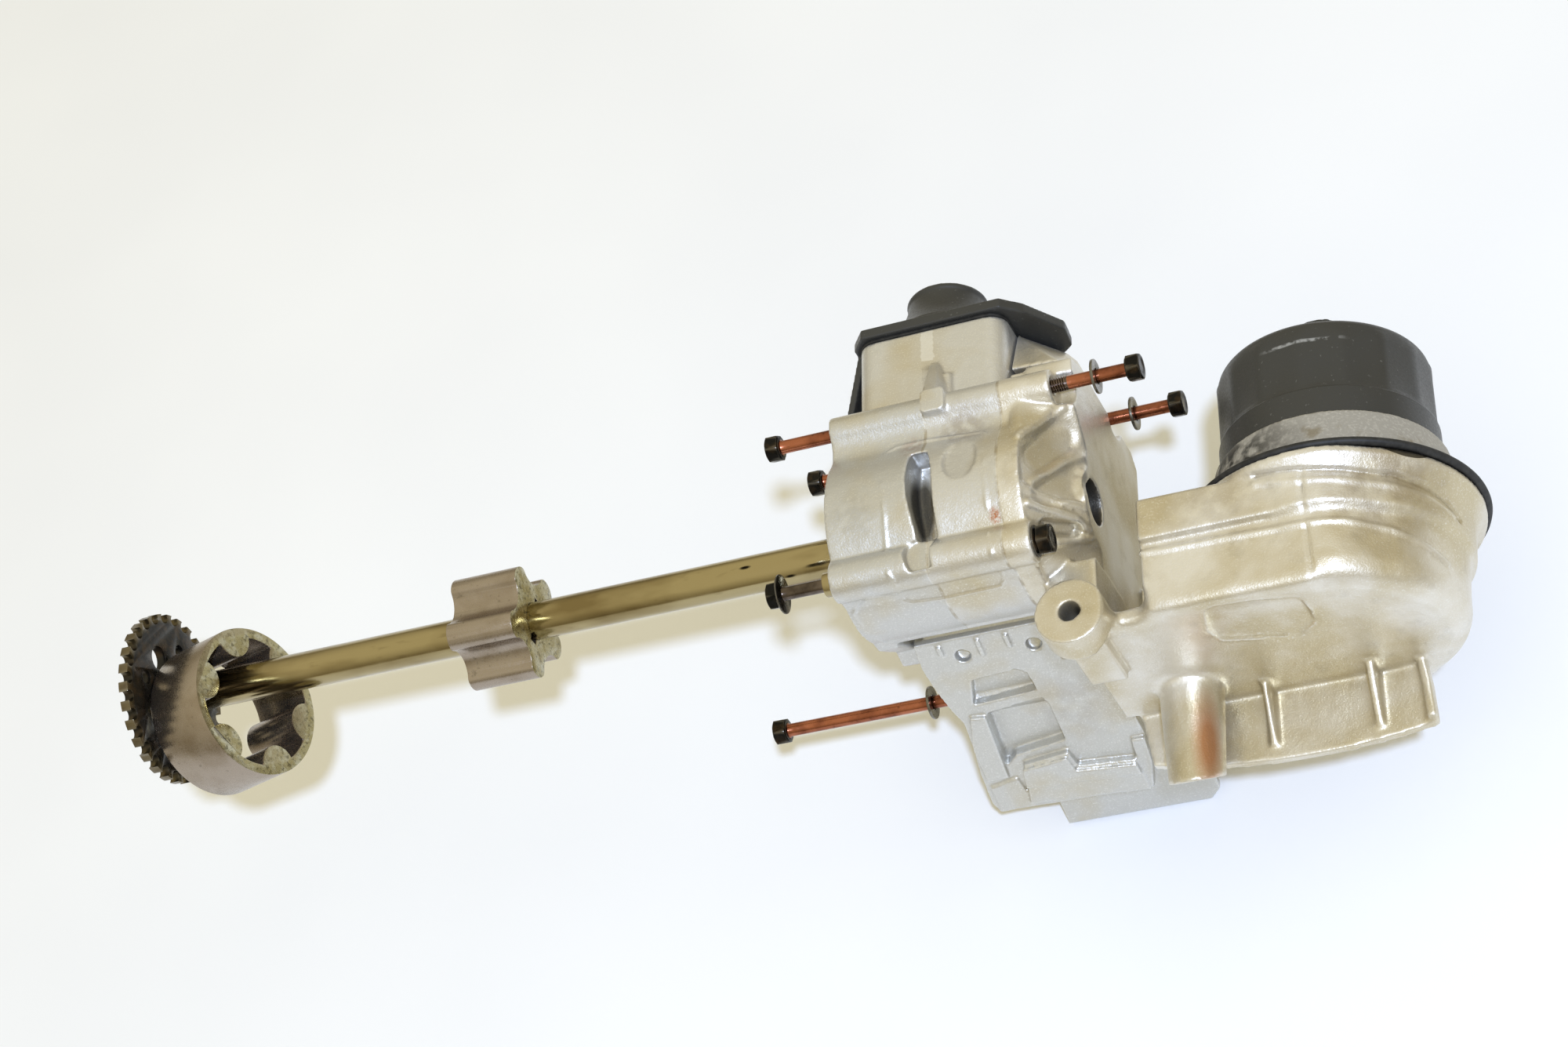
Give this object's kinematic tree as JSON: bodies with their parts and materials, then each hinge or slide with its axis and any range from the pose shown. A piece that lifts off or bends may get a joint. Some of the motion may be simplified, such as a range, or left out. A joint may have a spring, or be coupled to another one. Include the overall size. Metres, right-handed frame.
{
  "type": "engine oil pump",
  "caption": "Partly stripped engine oil pump: chain-driven shaft, gerotor rotors, three-piece aluminium housing, suction bell, ladder bracket and cartridge filter housing.",
  "frame": {"origin": "point on the shaft axis in the plane of the front casting's open face", "axes": "+X along the shaft from the sprocket to the rear cover, +Y the way the filter cap is lifted off, +Z away from the bracket side"},
  "size_m": [0.5888, 0.22, 0.1898],
  "materials": {
    "cast_aluminium": "sand-textured die casting, oil stained",
    "steel_shaft": "ground steel, oily",
    "sintered_steel": "sintered steel, oily and mottled",
    "black_steel": "black oxide with worn tooth tips",
    "bolt_steel": "copper-brown tempered shank, black head",
    "washer_steel": "dark plated steel",
    "bush_bronze": "sintered bronze",
    "black_plastic": "moulded glass-filled plastic with pale scuffs",
    "grey_plastic": "grey moulded collar with black grime",
    "seal_rubber": "matt black rubber",
    "filter_paper": "pleated paper",
    "screen_steel": "woven steel"
  },
  "bodies": {
    "pump_body": {"front_casting": "cast_aluminium", "middle_casting": "cast_aluminium", "rear_casting": "cast_aluminium", "front_bush": "bush_bronze", "rear_bush": "bush_bronze", "dowel_sleeve": "steel_shaft", "suction_gasket": "seal_rubber", "suction_cover": "black_plastic", "strainer_screen": "screen_steel", "neck_gasket": "seal_rubber", "filter_neck": "grey_plastic", "filter_standpipe": "black_plastic", "relief_plug": "washer_steel", "relief_spring": "steel_shaft", "ladder_bracket": "cast_aluminium", "lower_plate": "cast_aluminium", "cover_bolt": "black_steel"},
    "shaft_group": {"pump_shaft": "steel_shaft", "drive_sprocket": "black_steel", "sprocket_nut": "black_steel", "drive_key": "steel_shaft", "drive_pin": "steel_shaft", "main_inner_rotor": "sintered_steel"},
    "main_ring": {"main_outer_rotor": "sintered_steel"},
    "pulled_rotor": {"inner_rotor": "sintered_steel"},
    "loose_ring": {"outer_rotor": "sintered_steel"},
    "filter_stack": {"filter_element": "filter_paper"},
    "cap_group": {"filter_cap": "black_plastic", "cap_ring_seal": "seal_rubber"},
    "relief_valve": {"relief_piston": "steel_shaft"},
    "front_upper_bolt_body": {"front_upper_bolt": "bolt_steel"},
    "front_side_bolt_body": {"front_side_bolt": "bolt_steel"},
    "front_lower_bolt_body": {"front_lower_bolt": "bolt_steel"},
    "ladder_bolt_body": {"ladder_bolt": "bolt_steel"},
    "rear_upper_bolt_body": {"rear_upper_bolt": "bolt_steel"},
    "rear_edge_bolt_body": {"rear_edge_bolt": "bolt_steel"},
    "ladder_washer_body": {"ladder_washer": "washer_steel"},
    "rear_upper_washer_body": {"rear_upper_washer": "washer_steel"},
    "rear_edge_washer_body": {"rear_edge_washer": "washer_steel"}
  },
  "joints": [
    {"name": "shaft_spin", "type": "hinge", "parent": "pump_body", "child": "shaft_group", "pos_m": [0, 0, 0], "axis": [1, 0, 0], "continuous": true},
    {"name": "main_ring_spin", "type": "hinge", "parent": "pump_body", "child": "main_ring", "pos_m": [0.06, 0.0041, 0], "axis": [1, 0, 0], "continuous": true},
    {"name": "inner_rotor_slide", "type": "slide", "parent": "shaft_group", "child": "pulled_rotor", "axis": [1, 0, 0], "range_m": [0, 0.12]},
    {"name": "outer_ring_slide", "type": "slide", "parent": "pump_body", "child": "loose_ring", "axis": [1, 0, 0], "range_m": [0, 0.08]},
    {"name": "cap_lift", "type": "slide", "parent": "pump_body", "child": "filter_stack", "axis": [0, 1, 0], "range_m": [0, 0.012]},
    {"name": "cap_turn", "type": "hinge", "parent": "filter_stack", "child": "cap_group", "pos_m": [0.1853, 0.03, -0.043], "axis": [0, 1, 0], "range_deg": [0, 1080]},
    {"name": "relief_slide", "type": "slide", "parent": "pump_body", "child": "relief_valve", "axis": [0, 0, -1], "range_m": [0, 0.008], "stiffness_N_per_m": 800, "springref_m": -0.003, "deforming": ["relief_spring"]},
    {"name": "front_upper_bolt_slide", "type": "slide", "parent": "pump_body", "child": "front_upper_bolt_body", "axis": [1, 0, 0], "range_m": [0, 0.0227]},
    {"name": "front_side_bolt_slide", "type": "slide", "parent": "pump_body", "child": "front_side_bolt_body", "axis": [1, 0, 0], "range_m": [0, 0.0187]},
    {"name": "front_lower_bolt_slide", "type": "slide", "parent": "pump_body", "child": "front_lower_bolt_body", "axis": [1, 0, 0], "range_m": [0, 0.0177]},
    {"name": "ladder_bolt_slide", "type": "slide", "parent": "pump_body", "child": "ladder_bolt_body", "axis": [1, 0, 0], "range_m": [0, 0.0715]},
    {"name": "rear_upper_bolt_slide", "type": "slide", "parent": "pump_body", "child": "rear_upper_bolt_body", "axis": [-1, 0, 0], "range_m": [0, 0.0285]},
    {"name": "rear_edge_bolt_slide", "type": "slide", "parent": "pump_body", "child": "rear_edge_bolt_body", "axis": [-1, 0, 0], "range_m": [0, 0.034]},
    {"name": "ladder_washer_slide", "type": "slide", "parent": "pump_body", "child": "ladder_washer_body", "axis": [1, 0, 0], "range_m": [0, 0.008]},
    {"name": "rear_upper_washer_slide", "type": "slide", "parent": "pump_body", "child": "rear_upper_washer_body", "axis": [-1, 0, 0], "range_m": [0, 0.0165]},
    {"name": "rear_edge_washer_slide", "type": "slide", "parent": "pump_body", "child": "rear_edge_washer_body", "axis": [-1, 0, 0], "range_m": [0, 0.0195]}
  ],
  "couplings": [
    {"joint": "main_ring_spin", "follows": "shaft_spin", "ratio": 0.83333},
    {"joint": "cap_turn", "follows": "cap_lift", "rad_per_m": 1570.8},
    {"joint": "ladder_washer_slide", "follows": "ladder_bolt_slide", "ratio": 0.1118},
    {"joint": "rear_upper_washer_slide", "follows": "rear_upper_bolt_slide", "ratio": 0.5789},
    {"joint": "rear_edge_washer_slide", "follows": "rear_edge_bolt_slide", "ratio": 0.5735}
  ]
}
